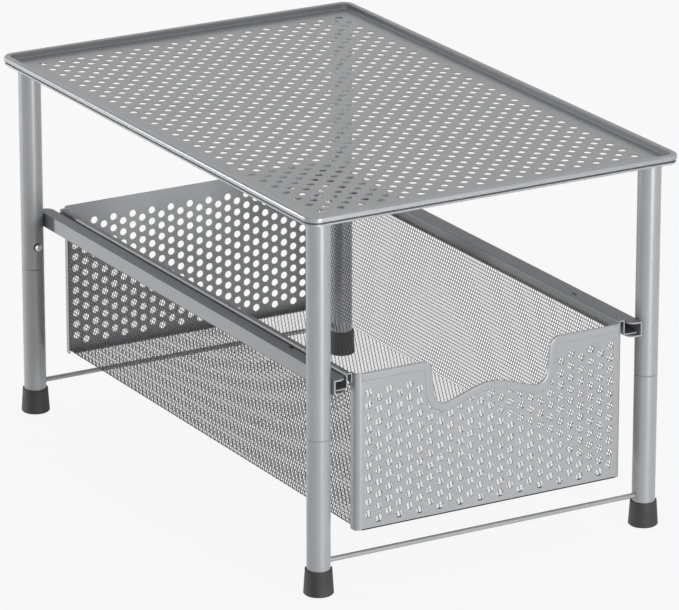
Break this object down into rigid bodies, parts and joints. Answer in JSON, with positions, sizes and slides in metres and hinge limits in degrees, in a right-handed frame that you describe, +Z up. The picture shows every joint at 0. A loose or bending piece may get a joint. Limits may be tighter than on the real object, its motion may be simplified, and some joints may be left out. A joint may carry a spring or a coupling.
{
  "type": "under sink organizer",
  "caption": "Steel under sink organizer: a perforated top tray on tube legs over a sliding mesh drawer with a wave-cut front panel.",
  "frame": {"origin": "on the floor under the middle of the stand, at the bottom centre of its bounding box", "axes": "+Z up; the drawer opens towards -Y; +X is the right side seen from the drawer's front"},
  "size_m": [0.2846, 0.442, 0.265],
  "materials": {
    "silver_coat": "satin silver powder coat",
    "mesh_coat": "satin silver powder coat on woven wire",
    "plug_plastic": "moulded plastic",
    "spring_steel": "plain spring steel",
    "foot_rubber": "matt rubber",
    "button_chrome": "bright plated"
  },
  "bodies": {
    "stand": {"tray_top": "silver_coat", "tray_frame": "silver_coat", "front_rod": "silver_coat", "rear_rod": "silver_coat", "rail_web_left": "silver_coat", "rail_roof_left": "silver_coat", "rail_floor_left": "silver_coat", "rail_stop_left": "silver_coat", "rail_end_left": "silver_coat", "rail_web_right": "silver_coat", "rail_roof_right": "silver_coat", "rail_floor_right": "silver_coat", "rail_stop_right": "silver_coat", "rail_end_right": "silver_coat", "leg_plug_front_left": "plug_plastic", "upper_leg_front_left": "silver_coat", "lower_leg_front_left": "silver_coat", "leaf_spring_front_left": "spring_steel", "foot_front_left": "foot_rubber", "leg_plug_front_right": "plug_plastic", "upper_leg_front_right": "silver_coat", "lower_leg_front_right": "silver_coat", "leaf_spring_front_right": "spring_steel", "foot_front_right": "foot_rubber", "leg_plug_rear_left": "plug_plastic", "upper_leg_rear_left": "silver_coat", "lower_leg_rear_left": "silver_coat", "leaf_spring_rear_left": "spring_steel", "foot_rear_left": "foot_rubber", "leg_plug_rear_right": "plug_plastic", "upper_leg_rear_right": "silver_coat", "lower_leg_rear_right": "silver_coat", "leaf_spring_rear_right": "spring_steel", "foot_rear_right": "foot_rubber"},
    "drawer": {"front_panel": "silver_coat", "rear_panel": "silver_coat", "drawer_mesh": "mesh_coat", "runner_hook_left": "silver_coat", "runner_flange_left": "silver_coat", "runner_hook_right": "silver_coat", "runner_flange_right": "silver_coat"},
    "button_front_left": {"snap_button_front_left": "button_chrome"},
    "button_front_right": {"snap_button_front_right": "button_chrome"},
    "button_rear_left": {"snap_button_rear_left": "button_chrome"},
    "button_rear_right": {"snap_button_rear_right": "button_chrome"}
  },
  "joints": [
    {"name": "drawer_slide", "type": "slide", "parent": "stand", "child": "drawer", "axis": [0, -1, 0], "range_m": [0, 0.326]},
    {"name": "button_press_front_left", "type": "slide", "parent": "stand", "child": "button_front_left", "axis": [0, -1, 0], "range_m": [0, 0.0034], "stiffness_N_per_m": 1200, "springref_m": -0.002, "deforming": ["leaf_spring_front_left"]},
    {"name": "button_press_front_right", "type": "slide", "parent": "stand", "child": "button_front_right", "axis": [0, -1, 0], "range_m": [0, 0.0034], "stiffness_N_per_m": 1200, "springref_m": -0.002, "deforming": ["leaf_spring_front_right"]},
    {"name": "button_press_rear_left", "type": "slide", "parent": "stand", "child": "button_rear_left", "axis": [0, 1, 0], "range_m": [0, 0.0034], "stiffness_N_per_m": 1200, "springref_m": -0.002, "deforming": ["leaf_spring_rear_left"]},
    {"name": "button_press_rear_right", "type": "slide", "parent": "stand", "child": "button_rear_right", "axis": [0, 1, 0], "range_m": [0, 0.0034], "stiffness_N_per_m": 1200, "springref_m": -0.002, "deforming": ["leaf_spring_rear_right"]}
  ]
}
